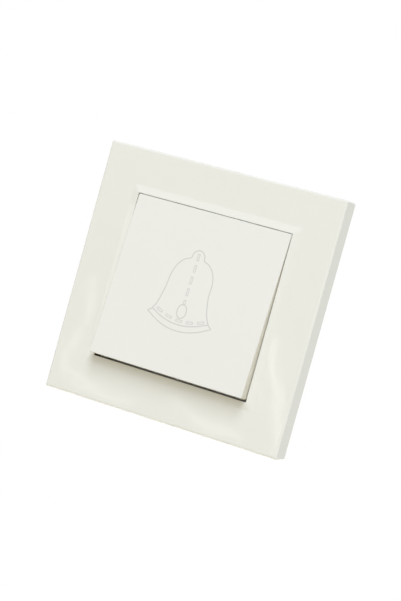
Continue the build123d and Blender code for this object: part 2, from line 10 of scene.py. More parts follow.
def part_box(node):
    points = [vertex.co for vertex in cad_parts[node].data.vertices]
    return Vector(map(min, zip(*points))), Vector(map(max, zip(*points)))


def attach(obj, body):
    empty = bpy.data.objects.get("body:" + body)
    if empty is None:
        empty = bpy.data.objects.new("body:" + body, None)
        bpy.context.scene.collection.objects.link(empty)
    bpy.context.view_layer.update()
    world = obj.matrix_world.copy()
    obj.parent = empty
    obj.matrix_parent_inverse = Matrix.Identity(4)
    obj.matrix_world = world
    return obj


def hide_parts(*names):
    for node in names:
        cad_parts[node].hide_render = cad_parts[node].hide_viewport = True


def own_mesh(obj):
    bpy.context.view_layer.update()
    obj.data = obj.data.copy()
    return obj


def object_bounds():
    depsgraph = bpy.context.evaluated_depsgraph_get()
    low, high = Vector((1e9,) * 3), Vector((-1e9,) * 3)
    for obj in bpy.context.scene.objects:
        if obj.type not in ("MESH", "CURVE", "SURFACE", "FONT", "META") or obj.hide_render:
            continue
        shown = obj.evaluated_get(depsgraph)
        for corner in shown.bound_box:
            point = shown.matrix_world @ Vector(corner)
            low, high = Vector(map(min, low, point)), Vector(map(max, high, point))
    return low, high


bl_info = {
    "name": "Bell push dressing",
    "version": (1, 0, 0),
    "blender": (4, 5, 0),
    "location": "View3D > Sidebar > Bell push",
    "description": "Dresses the packed bell push with its finishes, sign, screws, rivets and springs",
    "category": "Object",
}

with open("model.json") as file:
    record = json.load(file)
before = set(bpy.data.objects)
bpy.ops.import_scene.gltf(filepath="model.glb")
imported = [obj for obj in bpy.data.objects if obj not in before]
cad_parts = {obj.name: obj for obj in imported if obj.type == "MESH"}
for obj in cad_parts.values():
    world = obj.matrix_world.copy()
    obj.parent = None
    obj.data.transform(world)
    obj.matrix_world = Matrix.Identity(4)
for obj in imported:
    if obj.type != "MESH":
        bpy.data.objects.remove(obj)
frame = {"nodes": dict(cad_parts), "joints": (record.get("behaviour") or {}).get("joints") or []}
cad_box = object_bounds()

MM = 0.001
FULL_TURN = 2 * math.pi
SHARP_ANGLE = math.radians(35)
WIRE_SIDES = 12
HEAD_SIDES = 48
SHANK_SIDES = 32
LINE_STEPS = 10
NOISE_RANGE = (0.3, 0.7)
WHITE = (1, 1, 1)
JOINTS = {joint["name"]: joint for joint in frame["joints"]}
ROCKER_PIVOT = Vector(JOINTS["rocker_press"]["pos_m"])


# Settings that a user would change


class BellSignSettings(bpy.types.PropertyGroup):
    """Sizes of the bell sign on the rocker's face."""

    line_width: FloatProperty(
        name="Line width", description="Width of a printed line", default=0.36 * MM, unit="LENGTH"
    )
    film: FloatProperty(
        name="Film", description="Height of the print above the face", default=0.012 * MM, unit="LENGTH"
    )
    offset: FloatProperty(
        name="Offset",
        description="Sign's middle, right of the rocker's",
        default=-0.55 * MM,
        unit="LENGTH",
    )
    face_distance: FloatProperty(
        name="Face distance",
        description="Rocker's face in front of its pivot",
        default=5.0 * MM,
        unit="LENGTH",
    )
    face_tilt: FloatProperty(
        name="Face tilt",
        description="Rocker's tilt at rest",
        default=math.radians(5.2),
        subtype="ANGLE",
    )
    ink: FloatVectorProperty(
        name="Ink",
        description="Colour of the print",
        default=(0.64, 0.638, 0.607),
        size=3,
        subtype="COLOR",
    )


class FastenerSettings(bpy.types.PropertyGroup):
    """Sizes of the screw threads, driver slots and springs."""

    claw_pitch: FloatProperty(
        name="Claw pitch",
        description="Rise of a claw screw's thread per turn",
        default=0.7 * MM,
        unit="LENGTH",
    )
    terminal_pitch: FloatProperty(
        name="Terminal pitch",
        description="Rise of a terminal screw's thread",
        default=0.5 * MM,
        unit="LENGTH",
    )
    claw_head: FloatProperty(
        name="Claw head", description="Height of a claw screw's head", default=2.2 * MM, unit="LENGTH"
    )
    terminal_head: FloatProperty(
        name="Terminal head",
        description="Height of a terminal screw's head",
        default=2.0 * MM,
        unit="LENGTH",
    )
    claw_shank: FloatProperty(
        name="Claw shank",
        description="Radius of a claw screw's thread",
        default=1.75 * MM,
        unit="LENGTH",
    )
    terminal_shank: FloatProperty(
        name="Terminal shank",
        description="Radius of a terminal screw's thread",
        default=1.5 * MM,
        unit="LENGTH",
    )
    slot_width: FloatProperty(
        name="Slot width", description="Width of a driver slot", default=0.8 * MM, unit="LENGTH"
    )
    slot_depth: FloatProperty(
        name="Slot depth", description="Depth of a driver slot", default=0.9 * MM, unit="LENGTH"
    )
    steps: IntProperty(
        name="Steps",
        description="Steps in each turn of a thread or coil",
        default=28,
        min=8,
    )


class FinishSettings(bpy.types.PropertyGroup):
    """Colours of the mouldings and metals."""

    gloss_cream: FloatVectorProperty(
        name="Gloss cream",
        description="Cover frame",
        default=(0.825, 0.826, 0.762),
        size=3,
        subtype="COLOR",
    )
    satin_cream: FloatVectorProperty(
        name="Satin cream", description="Rocker", default=(0.826, 0.825, 0.775), size=3, subtype="COLOR"
    )
    # Painted shade: a dark brown that stands in for the shade in the gap under the rocker
    gap_shade_cream: FloatVectorProperty(
        name="Gap cream",
        description="Foot of the opening",
        default=(0.30, 0.24, 0.12),
        size=3,
        subtype="COLOR",
    )
    # Painted shade: a darker, warmer cream that stands in for the shade on the rocker's sides
    side_shade_cream: FloatVectorProperty(
        name="Side cream",
        description="Sides of the rocker",
        default=(0.76, 0.73, 0.63),
        size=3,
        subtype="COLOR",
    )
    insert_grey: FloatVectorProperty(
        name="Insert grey",
        description="Insert and its cover",
        default=(0.66, 0.655, 0.62),
        size=3,
        subtype="COLOR",
    )
    nylon: FloatVectorProperty(
        name="Nylon",
        description="Carrier and plunger",
        default=(0.70, 0.68, 0.60),
        size=3,
        subtype="COLOR",
    )
    zinc: FloatVectorProperty(
        name="Zinc",
        description="Ring, claws and screws",
        default=(0.53, 0.527, 0.515),
        size=3,
        subtype="COLOR",
    )
    brass: FloatVectorProperty(
        name="Brass",
        description="Strips, lever and cages",
        default=(0.74, 0.53, 0.22),
        size=3,
        subtype="COLOR",
    )
    silver: FloatVectorProperty(
        name="Silver", description="Contact tips", default=(0.82, 0.80, 0.75), size=3, subtype="COLOR"
    )
    wire_grey: FloatVectorProperty(
        name="Wire grey", description="Spring wire", default=(0.48, 0.49, 0.50), size=3, subtype="COLOR"
    )


class StageSettings(bpy.types.PropertyGroup):
    """Camera, lamps and floor."""

    camera_place: FloatVectorProperty(
        name="Camera place",
        description="Where the camera stands",
        default=(0.20176, -0.49977, 0.01699),
        size=3,
        subtype="TRANSLATION",
    )
    camera_yaw: FloatProperty(
        name="Yaw",
        description="Turn to the left of straight ahead",
        default=math.radians(21.986),
        subtype="ANGLE",
    )
    camera_pitch: FloatProperty(
        name="Pitch", description="Tilt upwards", default=math.radians(-1.910), subtype="ANGLE"
    )
    camera_roll: FloatProperty(
        name="Roll", description="Turn about the view", default=math.radians(15.523), subtype="ANGLE"
    )
    lens: FloatProperty(name="Lens", description="Focal length in millimetres", default=101.85)
    floor_drop: FloatProperty(
        name="Floor drop", description="Floor below the object", default=0.14, unit="LENGTH"
    )
    key_power: FloatProperty(
        name="Key",
        description="Power of the key lamp",
        default=70.3,
        unit="POWER",
    )
    fill_power: FloatProperty(
        name="Fill",
        description="Power of the fill lamp",
        default=5.4,
        unit="POWER",
    )
    back_power: FloatProperty(
        name="Back",
        description="Power of the lamp behind",
        default=24.0,
        unit="POWER",
    )
    low_power: FloatProperty(
        name="Low",
        description="Power of the lamp below",
        default=0.12,
        unit="POWER",
    )
    surround: FloatProperty(
        name="Surround",
        description="Strength of the surrounding light",
        default=0.40,
    )


# Finishes


def start_finish(name):
    """New material with its tree and its shader."""
    material = bpy.data.materials.new(name)
    material.use_nodes = True
    tree = material.node_tree
    return material, tree, tree.nodes["Principled BSDF"]


def object_place(tree, stretch=(1, 1, 1)):
    """Object coordinates, stretched along each axis."""
    place = tree.nodes.new("ShaderNodeTexCoord")
    mapping = tree.nodes.new("ShaderNodeMapping")
    mapping.inputs["Scale"].default_value = stretch
    tree.links.new(place.outputs["Object"], mapping.inputs["Vector"])
    return mapping.outputs["Vector"]


def grain(tree, waves, detail=3, stretch=(1, 1, 1)):
    """Noise on object coordinates, with this many waves in a metre."""
    noise = tree.nodes.new("ShaderNodeTexNoise")
    noise.inputs["Scale"].default_value = waves
    noise.inputs["Detail"].default_value = detail
    tree.links.new(object_place(tree, stretch), noise.inputs["Vector"])
    return noise.outputs["Fac"]


def ramp(tree, value, low, high):
    """Value turned into a share from 0 at one distance to 1 at another, in metres."""
    ranged = tree.nodes.new("ShaderNodeMapRange")
    ranged.interpolation_type = "SMOOTHSTEP"
    ranged.inputs["From Min"].default_value = low
    ranged.inputs["From Max"].default_value = high
    tree.links.new(value, ranged.inputs["Value"])
    return ranged.outputs["Result"]


def share_along(tree, direction, low, high):
    """Share that grows along a direction, between two distances from the origin."""
    dot = tree.nodes.new("ShaderNodeVectorMath")
    dot.operation = "DOT_PRODUCT"
    dot.inputs[1].default_value = direction
    tree.links.new(object_place(tree), dot.inputs[0])
    return ramp(tree, dot.outputs["Value"], low, high)


def larger(tree, first, second):
    """The larger of two values."""
    most = tree.nodes.new("ShaderNodeMath")
    most.operation = "MAXIMUM"
    tree.links.new(first, most.inputs[0])
    tree.links.new(second, most.inputs[1])
    return most.outputs[0]


def share_outside(tree, low, high):
    """Share that grows away from the plate's middle, alike on its four sides."""
    size = tree.nodes.new("ShaderNodeVectorMath")
    size.operation = "ABSOLUTE"
    parts = tree.nodes.new("ShaderNodeSeparateXYZ")
    tree.links.new(object_place(tree), size.inputs[0])
    tree.links.new(size.outputs["Vector"], parts.inputs["Vector"])
    return ramp(tree, larger(tree, parts.outputs["X"], parts.outputs["Z"]), low, high)


def mixed(tree, share, first, second):
    """One colour where the share is 0 and another where it is 1."""
    mix = tree.nodes.new("ShaderNodeMix")
    mix.data_type = "RGBA"
    mix.inputs["A"].default_value = (*first, 1)
    mix.inputs["B"].default_value = (*second, 1)
    tree.links.new(share, mix.inputs["Factor"])
    return mix.outputs["Result"]


def blend(tree, share, hidden, shown):
    """One colour where the share is 0 and a pattern of colours where it is 1."""
    mix = tree.nodes.new("ShaderNodeMix")
    mix.data_type = "RGBA"
    mix.inputs["A"].default_value = (*hidden, 1)
    tree.links.new(share, mix.inputs["Factor"])
    tree.links.new(shown, mix.inputs["B"])
    return mix.outputs["Result"]


def flakes(tree, cells_per_metre):
    """Cells of slightly different tone, as on plated sheet."""
    cells = tree.nodes.new("ShaderNodeTexVoronoi")
    cells.inputs["Scale"].default_value = cells_per_metre
    tree.links.new(object_place(tree), cells.inputs["Vector"])
    return cells.outputs["Color"]


def spread(tree, factor, low, high):
    """Factor stretched from its middle range to lie between two values."""
    ranged = tree.nodes.new("ShaderNodeMapRange")
    ranged.inputs["From Min"].default_value = NOISE_RANGE[0]
    ranged.inputs["From Max"].default_value = NOISE_RANGE[1]
    ranged.inputs["To Min"].default_value = low
    ranged.inputs["To Max"].default_value = high
    tree.links.new(factor, ranged.inputs["Value"])
    return ranged.outputs["Result"]


def tint(tree, factor, colour, share):
    """Colour that wanders by a share of itself, darker and lighter."""
    darker = [channel * (1 - share) for channel in colour]
    lighter = [min(1, channel * (1 + share)) for channel in colour]
    return mixed(tree, factor, darker, lighter)


def relief(tree, pattern, height, strength, below=None):
    """Bump of this height in metres, on top of another bump if one is given."""
    bump = tree.nodes.new("ShaderNodeBump")
    bump.inputs["Distance"].default_value = height
    bump.inputs["Strength"].default_value = strength
    tree.links.new(pattern, bump.inputs["Height"])
    if below:
        tree.links.new(below, bump.inputs["Normal"])
    return bump.outputs["Normal"]


def gloss_moulding(name, colour, gap_shade_colour):
    """Glossy plastic with slow flow waves, faint handling marks and painted shade on the foot of the
    opening.
    """
    gap_edge = (0.2 * MM, 0.3 * MM)
    foot_height = (0.5 * MM, 1.5 * MM)
    material, tree, shader = start_finish(name)
    flow = grain(tree, waves=70, detail=2)
    marks = grain(tree, waves=900, detail=4)
    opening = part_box("rocker_button")[1].x
    # Painted shade: the bottom wall of the opening, up to the foot height, gets the dark gap colour in
    # place of the shade there
    outside = share_outside(tree, opening + gap_edge[0], opening + gap_edge[1])
    above = share_along(tree, (0, 0, 1), -opening + foot_height[0], -opening + foot_height[1])
    face = tint(tree, grain(tree, waves=30), colour, share=0.008)
    tree.links.new(blend(tree, larger(tree, outside, above), gap_shade_colour, face), shader.inputs["Base Color"])
    tree.links.new(spread(tree, marks, low=0.03, high=0.05), shader.inputs["Roughness"])
    flow_bump = relief(tree, flow, height=0.04 * MM, strength=1.0)
    mark_bump = relief(tree, marks, height=0.0012 * MM, strength=0.5, below=flow_bump)
    tree.links.new(mark_bump, shader.inputs["Normal"])
    shader.inputs["IOR"].default_value = 1.49
    return material


def satin_moulding(name, colour, grain_size, rough, side_shade=None):
    """Moulded plastic with a fine spark-eroded grain, and painted warm shade on its sides below the face
    when a side colour is given.
    """
    material, tree, shader = start_finish(name)
    fine = grain(tree, waves=1 / grain_size)
    clouds = grain(tree, waves=55)
    base = tint(tree, clouds, colour, share=0.012)
    if side_shade:
        direction, low, high, side_shade_colour = side_shade
        # Painted shade: below the face the colour turns to the darker, warmer side colour
        base = blend(tree, share_along(tree, direction, low, high), side_shade_colour, base)
    tree.links.new(base, shader.inputs["Base Color"])
    tree.links.new(spread(tree, clouds, rough - 0.04, rough + 0.05), shader.inputs["Roughness"])
    tree.links.new(relief(tree, fine, height=0.006 * MM, strength=0.5), shader.inputs["Normal"])
    shader.inputs["IOR"].default_value = 1.5
    return material


def plated_sheet(name, colour):
    """Zinc-plated steel with faint spangle and rolling lines."""
    material, tree, shader = start_finish(name)
    spangle = flakes(tree, cells_per_metre=420)
    rolling = grain(tree, waves=260, detail=4, stretch=(0.12, 1, 6))
    tree.links.new(tint(tree, spangle, colour, share=0.09), shader.inputs["Base Color"])
    tree.links.new(spread(tree, rolling, low=0.26, high=0.44), shader.inputs["Roughness"])
    tree.links.new(relief(tree, rolling, height=0.01 * MM, strength=0.35), shader.inputs["Normal"])
    shader.inputs["Metallic"].default_value = 1
    return material


def bright_metal(name, colour, rough, variation):
    """Drawn, turned or stamped metal with fine drawing marks."""
    material, tree, shader = start_finish(name)
    marks = grain(tree, waves=1500, detail=4, stretch=(1, 0.2, 1))
    tree.links.new(tint(tree, grain(tree, waves=220), colour, variation), shader.inputs["Base Color"])
    tree.links.new(spread(tree, marks, rough - 0.06, rough + 0.1), shader.inputs["Roughness"])
    tree.links.new(relief(tree, marks, height=0.004 * MM, strength=0.4), shader.inputs["Normal"])
    shader.inputs["Metallic"].default_value = 1
    return material


def print_ink(name, colour):
    """Thin print of a slightly uneven tone."""
    material, tree, shader = start_finish(name)
    tree.links.new(tint(tree, grain(tree, waves=1400), colour, share=0.06), shader.inputs["Base Color"])
    shader.inputs["Roughness"].default_value = 0.5
    return material


def dress(node, material):
    """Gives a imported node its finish."""
    mesh = frame["nodes"][node].data
    mesh.materials.clear()
    mesh.materials.append(material)


# Building pieces


def rocker_outward(context):
    """Direction in which the rocker's face looks at rest."""
    tilt = context.scene.bell_push_sign.face_tilt
    return Vector((0, -math.cos(tilt), math.sin(tilt)))


def finish_piece(name, bm, material, body):
    """Makes a bmesh an object that rides on a body, smooth up to the sharp angle."""
    bmesh.ops.recalc_face_normals(bm, faces=bm.faces)
    for face in bm.faces:
        face.smooth = True
    mesh = bpy.data.meshes.new(name)
    bm.to_mesh(mesh)
    bm.free()
    mesh.set_sharp_from_angle(angle=SHARP_ANGLE)
    mesh.materials.append(material)
    piece = bpy.data.objects.new(name, mesh)
    bpy.context.scene.collection.objects.link(piece)
    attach(piece, body)
    return piece


def coil_of_wire(start, direction, length, radius, wire, turns, steps):
    """Coil of round wire, swept by a spin that climbs at every step."""
    bm = bmesh.new()
    rise = length - wire
    section = Matrix.Translation((radius, 0, wire / 2)) @ Matrix.Rotation(math.pi / 2, 4, "X")
    bmesh.ops.create_circle(bm, radius=wire / 2, segments=WIRE_SIDES, cap_ends=True, matrix=section)
    count = round(turns * steps)
    bmesh.ops.spin(
        bm,
        geom=bm.faces[:],
        cent=(0, 0, 0),
        axis=(0, 0, 1),
        dvec=(0, 0, rise / count),
        angle=FULL_TURN * turns,
        steps=count,
        use_duplicate=False,
    )
    place = Matrix.Translation(start) @ direction.to_track_quat("Z", "Y").to_matrix().to_4x4()
    bmesh.ops.transform(bm, matrix=place, verts=bm.verts)
    return bm


def add_line(curve, points, closed=False, handle="AUTO"):
    """One line of a drawing through these points, in metres."""
    spline = curve.splines.new("BEZIER")
    spline.bezier_points.add(len(points) - 1)
    for knot, (across, up) in zip(spline.bezier_points, points):
        knot.co = (across, up, 0)
        knot.handle_left_type = handle
        knot.handle_right_type = handle
    spline.use_cyclic_u = closed
    spline.resolution_u = LINE_STEPS


def new_drawing(name, width):
    """Empty drawing whose lines are round rods of this width."""
    curve = bpy.data.curves.new(name, "CURVE")
    curve.dimensions = "3D"
    curve.bevel_depth = width / 2
    curve.bevel_resolution = 1
    curve.use_fill_caps = True
    return curve


def drawn_lines(curve):
    """A drawing's lines as a bmesh."""
    lines = bpy.data.objects.new(curve.name, curve)
    bpy.context.scene.collection.objects.link(lines)
    bpy.context.view_layer.update()
    drawn = bpy.data.meshes.new_from_object(lines)
    bpy.data.objects.remove(lines)
    bm = bmesh.new()
    bm.from_mesh(drawn)
    bpy.data.meshes.remove(drawn)
    return bm


def slotted_screw(head_radius, head_height, shank_radius, length, pitch, settings):
    """Slotted screw along Z, with its head's face at the origin."""
    rim_share = 0.98
    chamfer = 0.08 * head_radius
    root_radius = shank_radius - 0.55 * pitch
    sunk_radius = root_radius - 0.1 * pitch
    bm = bmesh.new()

    # Head, raised on both sides of its slot
    floor = Matrix.Translation((0, 0, settings.slot_depth))
    bmesh.ops.create_circle(bm, radius=head_radius, segments=HEAD_SIDES, cap_ends=True, matrix=floor)
    for side in (-1, 1):
        bmesh.ops.bisect_plane(
            bm,
            geom=bm.verts[:] + bm.edges[:] + bm.faces[:],
            plane_co=(side * settings.slot_width / 2, 0, 0),
            plane_no=(1, 0, 0),
        )
    lands = [face for face in bm.faces if abs(face.calc_center_median().x) > settings.slot_width / 2]
    raised = bmesh.ops.extrude_face_region(bm, geom=lands)
    bmesh.ops.delete(bm, geom=lands, context="FACES_ONLY")
    tops = [item for item in raised["geom"] if isinstance(item, bmesh.types.BMVert)]
    bmesh.ops.translate(bm, vec=(0, 0, -settings.slot_depth), verts=tops)
    rim = [edge for edge in bm.edges if edge.is_boundary]
    side_wall = bmesh.ops.extrude_edge_only(bm, edges=rim)
    low = [item for item in side_wall["geom"] if isinstance(item, bmesh.types.BMVert)]
    bmesh.ops.translate(bm, vec=(0, 0, head_height - settings.slot_depth), verts=low)
    bmesh.ops.holes_fill(bm, edges=[edge for edge in bm.edges if edge.is_boundary])
    corners = [
        edge
        for edge in bm.edges
        if all(
            vert.co.z < settings.slot_depth / 2 and vert.co.xy.length > rim_share * head_radius
            for vert in edge.verts
        )
    ]
    bmesh.ops.bevel(bm, geom=corners, offset=chamfer, segments=3, profile=0.5, affect="EDGES", material=-1)

    # Shank, with the thread as a ridge that climbs round it
    shank = Matrix.Translation((0, 0, (head_height + length) / 2))
    bmesh.ops.create_cone(
        bm,
        segments=SHANK_SIDES,
        radius1=root_radius,
        radius2=root_radius,
        depth=length - head_height,
        cap_ends=True,
        matrix=shank,
    )
    section = ((sunk_radius, 0.03), (shank_radius, 0.44), (shank_radius, 0.56), (sunk_radius, 0.97))
    knots = [bm.verts.new((radius, 0, head_height + share * pitch)) for radius, share in section]
    ridge = bm.faces.new(knots)
    turns = math.floor((length - head_height) / pitch) - 1
    bmesh.ops.spin(
        bm,
        geom=[ridge],
        cent=(0, 0, 0),
        axis=(0, 0, 1),
        dvec=(0, 0, pitch / settings.steps),
        angle=FULL_TURN * turns,
        steps=turns * settings.steps,
        use_duplicate=False,
    )
    return bm


# Operators


class FinishMouldings(bpy.types.Operator):
    """Give the frame, rocker, insert and carrier their plastics"""

    bl_idname = "bell_push.finish_mouldings"
    bl_label = "Finish mouldings"

    # Depths below the rocker's face between which the painted shade of its sides ends
    side_shade_start = 0.1 * MM
    side_shade_end = 0.5 * MM

    def execute(self, context):
        colours = context.scene.bell_push_finish
        # The frame gets painted shade at the foot of its opening
        dress("cover_frame", gloss_moulding("gloss_frame_plastic", colours.gloss_cream, colours.gap_shade_cream))

        # The rocker's sides get painted shade below its face
        out = rocker_outward(context)
        face = ROCKER_PIVOT.dot(out) + context.scene.bell_push_sign.face_distance
        side_shade = (out, face - self.side_shade_end, face - self.side_shade_start, colours.side_shade_cream)
        rocker = satin_moulding(
            "satin_rocker_plastic", colours.satin_cream, grain_size=0.2 * MM, rough=0.34, side_shade=side_shade
        )
        dress("rocker_button", rocker)

        insert = satin_moulding("insert_plastic", colours.insert_grey, grain_size=0.35 * MM, rough=0.46)
        for node in ("mechanism_base", "mechanism_cover"):
            dress(node, insert)
        nylon = satin_moulding("carrier_nylon", colours.nylon, grain_size=0.3 * MM, rough=0.4)
        for node in ("rocker_carrier", "contact_plunger"):
            dress(node, nylon)
        return {"FINISHED"}


class FinishMetals(bpy.types.Operator):
    """Give the ring, claws, strips, cages and tips their metals"""

    bl_idname = "bell_push.finish_metals"
    bl_label = "Finish metals"

    def execute(self, context):
        colours = context.scene.bell_push_finish
        sheet = plated_sheet("zinc_sheet", colours.zinc)
        for node in ("support_ring", "claw_left", "claw_right"):
            dress(node, sheet)
        brass = bright_metal("stamped_brass", colours.brass, rough=0.3, variation=0.06)
        strips = ("pivot_strip", "fixed_strip", "contact_lever", "clamp_cage_left", "clamp_cage_right")
        for node in strips:
            dress(node, brass)
        silver = bright_metal("contact_silver", colours.silver, rough=0.24, variation=0.04)
        for node in ("lever_tip", "fixed_tip"):
            dress(node, silver)
        return {"FINISHED"}


class PrintBellSign(bpy.types.Operator):
    """Print the bell sign on the rocker's face"""

    bl_idname = "bell_push.print_sign"
    bl_label = "Print bell sign"

    # The bell's lines in millimetres; each side of the dome ends with the lip's and the rim's corner
    loop_side = ((0.0, 13.8), (1.75, 12.8), (2.2, 11.05))
    left_dome = ((-2.2, 11.05), (-4.7, 9.7), (-6.7, 6.55), (-7.9, -1.0), (-9.9, -7.4), (-11.2, -8.5))
    right_dome = ((2.2, 11.05), (4.7, 9.7), (6.7, 6.55), (7.4, -1.0), (9.8, -7.7), (11.15, -8.85))
    lip_middle = -10.3
    rim_middle = -12.3
    lip_bend = 0.26
    rod_dashes = ((11.6, 2.05), (7.95, 2.15), (4.15, 2.25), (0.3, 2.25), (-3.1, 1.5))
    rod_width = 0.6
    clapper_up = -6.0
    clapper_half = (1.55, 2.2)
    dash_count = 5
    dash_radius = 18.7
    dash_step = math.radians(11.4)
    dash_size = (2.05, 0.65)
    dash_lift = 1.3
    dash_lean = math.radians(-2)

    def ink_line(self, curve, points, closed=False, handle="AUTO"):
        """One line of the sign through these points, in millimetres."""
        add_line(curve, [(across * MM, up * MM) for across, up in points], closed, handle)

    def add_dash(self, curve, across, up, width, height, turn=0.0):
        """Small outlined rectangle, turned about its middle."""
        turned = Matrix.Rotation(turn, 2)
        corners = []
        for side, end in ((-1, -1), (1, -1), (1, 1), (-1, 1)):
            corner = turned @ Vector((side * width / 2, end * height / 2))
            corners.append((across + corner.x, up + corner.y))
        self.ink_line(curve, corners, closed=True, handle="VECTOR")

    def draw_bell(self, curve):
        """All lines of the sign, about its middle."""
        for dome in (self.left_dome, self.right_dome):
            self.ink_line(curve, dome)
        arch = [(-x, y) for x, y in reversed(self.loop_side)] + list(self.loop_side[1:])
        self.ink_line(curve, arch)
        for knot, middle in ((-2, self.lip_middle), (-1, self.rim_middle)):
            left, right = self.left_dome[knot], self.right_dome[knot]
            bends = [(x / 2, middle + self.lip_bend * (y - middle)) for x, y in (left, right)]
            self.ink_line(curve, [left, bends[0], (0, middle), bends[1], right])
        for middle, length in self.rod_dashes:
            self.add_dash(curve, 0, middle, self.rod_width, length)
        half_width, half_height = self.clapper_half
        ring = ((half_width, 0), (0, half_height), (-half_width, 0), (0, -half_height))
        self.ink_line(curve, [(x, self.clapper_up + y) for x, y in ring], closed=True)
        lowest = self.lip_middle + self.dash_lift
        for index in range(self.dash_count):
            turn = (index - (self.dash_count - 1) / 2) * self.dash_step
            across = self.dash_radius * math.sin(turn)
            up = lowest + self.dash_radius * (1 - math.cos(turn)) + across * math.tan(self.dash_lean)
            self.add_dash(curve, across, up, *self.dash_size, turn + self.dash_lean)

    def execute(self, context):
        settings = context.scene.bell_push_sign
        curve = new_drawing("bell_sign_lines", settings.line_width)
        self.draw_bell(curve)
        bm = drawn_lines(curve)
        flat = Matrix.Scale(2 * settings.film / settings.line_width, 4, (0, 0, 1))
        face = (
            Matrix.Translation(ROCKER_PIVOT)
            @ Matrix.Rotation(math.pi / 2 - settings.face_tilt, 4, "X")
            @ Matrix.Translation((settings.offset, 0, settings.face_distance))
        )
        bmesh.ops.transform(bm, matrix=face @ flat, verts=bm.verts)
        finish_piece("bell_sign", bm, print_ink("sign_ink", settings.ink), "rocker")
        return {"FINISHED"}


class CutScrews(bpy.types.Operator):
    """Replace the plain screws by slotted and threaded ones"""

    bl_idname = "bell_push.cut_screws"
    bl_label = "Cut screws"

    def execute(self, context):
        settings = context.scene.bell_push_fasteners
        steel = bright_metal("screw_steel", context.scene.bell_push_finish.zinc, rough=0.3, variation=0.05)
        for side in ("left", "right"):
            low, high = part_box(f"claw_screw_{side}")
            bm = slotted_screw(
                (high.x - low.x) / 2,
                settings.claw_head,
                settings.claw_shank,
                high.y - low.y,
                settings.claw_pitch,
                settings,
            )
            place = Matrix.Translation(((low.x + high.x) / 2, low.y, (low.z + high.z) / 2))
            bmesh.ops.transform(bm, matrix=place @ Matrix.Rotation(-math.pi / 2, 4, "X"), verts=bm.verts)
            screw = finish_piece(f"claw_screw_cut_{side}", bm, steel, f"claw_bolt_{side}")
            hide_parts(f"claw_screw_{side}")

            low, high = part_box(f"terminal_screw_{side}")
            bm = slotted_screw(
                (high.x - low.x) / 2,
                settings.terminal_head,
                settings.terminal_shank,
                high.z - low.z,
                settings.terminal_pitch,
                settings,
            )
            place = Matrix.Translation(((low.x + high.x) / 2, (low.y + high.y) / 2, low.z))
            bmesh.ops.transform(bm, matrix=place, verts=bm.verts)
            screw = finish_piece(f"terminal_screw_cut_{side}", bm, steel, f"screw_{side}")
            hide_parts(f"terminal_screw_{side}")
        return {"FINISHED"}


class SetRivets(bpy.types.Operator):
    """Replace the plain rivets by ones with domed heads"""

    bl_idname = "bell_push.set_rivets"
    bl_label = "Set rivets"

    head_radius = 2.6 * MM
    head_height = 0.7 * MM
    shank_radius = 1.5 * MM
    dome_steps = 6
    turn_steps = 40
    merge_distance = 0.002 * MM

    def execute(self, context):
        low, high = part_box("ring_rivets")
        bm = bmesh.new()
        reach = high.x - self.head_radius
        for across in (-reach, reach):
            self.add_rivet(bm, across, -across, low.y, high.y)
        zinc = context.scene.bell_push_finish.zinc
        steel = bright_metal("rivet_steel", zinc, rough=0.28, variation=0.05)
        rivets = finish_piece("domed_rivets", bm, steel, "housing")
        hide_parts("ring_rivets")
        return {"FINISHED"}

    def add_rivet(self, bm, across, up, front, back):
        """One rivet, turned from its profile."""
        knots = []
        for step in range(self.dome_steps + 1):
            lean = math.pi / 2 * step / self.dome_steps
            depth = self.head_height * (1 - math.cos(lean))
            knots.append((self.head_radius * math.sin(lean), front + depth))
        knots.append((self.shank_radius, front + self.head_height))
        middle = (front + back) / 2
        knots += [(radius, 2 * middle - depth) for radius, depth in reversed(knots)]
        profile = [bm.verts.new((across + radius, depth, up)) for radius, depth in knots]
        outline = [bm.edges.new(pair) for pair in zip(profile, profile[1:])]
        bmesh.ops.spin(
            bm,
            geom=profile + outline,
            cent=(across, 0, up),
            axis=(0, 1, 0),
            angle=FULL_TURN,
            steps=self.turn_steps,
            use_merge=True,
            use_duplicate=False,
        )
        bmesh.ops.remove_doubles(bm, verts=bm.verts, dist=self.merge_distance)


class WindSprings(bpy.types.Operator):
    """Replace the coarse springs by smooth round-wire coils"""

    bl_idname = "bell_push.wind_springs"
    bl_label = "Wind springs"

    return_radius = 2.2 * MM
    return_wire = 0.5 * MM
    return_turns = 6
    pressed_share = 0.86
    plunger_radius = 1.05 * MM
    plunger_wire = 0.35 * MM
    plunger_turns = 5
    plunger_span = (-2.29 * MM, 1.70 * MM)

    def execute(self, context):
        steps = context.scene.bell_push_fasteners.steps
        wire_grey = context.scene.bell_push_finish.wire_grey
        wire = bright_metal("spring_wire", wire_grey, rough=0.26, variation=0.04)
        low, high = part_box("return_spring")
        foot = Vector((0, high.y, (low.z + high.z) / 2))
        bm = coil_of_wire(
            foot,
            Vector((0, -1, 0)),
            high.y - low.y,
            self.return_radius,
            self.return_wire,
            self.return_turns,
            steps,
        )
        coil = finish_piece("return_coil", bm, wire, "housing")
        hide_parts("return_spring")
        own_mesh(coil)

        out = rocker_outward(context)
        start, end = self.plunger_span
        bm = coil_of_wire(
            ROCKER_PIVOT + out * start,
            out,
            end - start,
            self.plunger_radius,
            self.plunger_wire,
            self.plunger_turns,
            steps,
        )
        coil = finish_piece("plunger_coil", bm, wire, "rocker")
        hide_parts("plunger_spring")
        return {"FINISHED"}


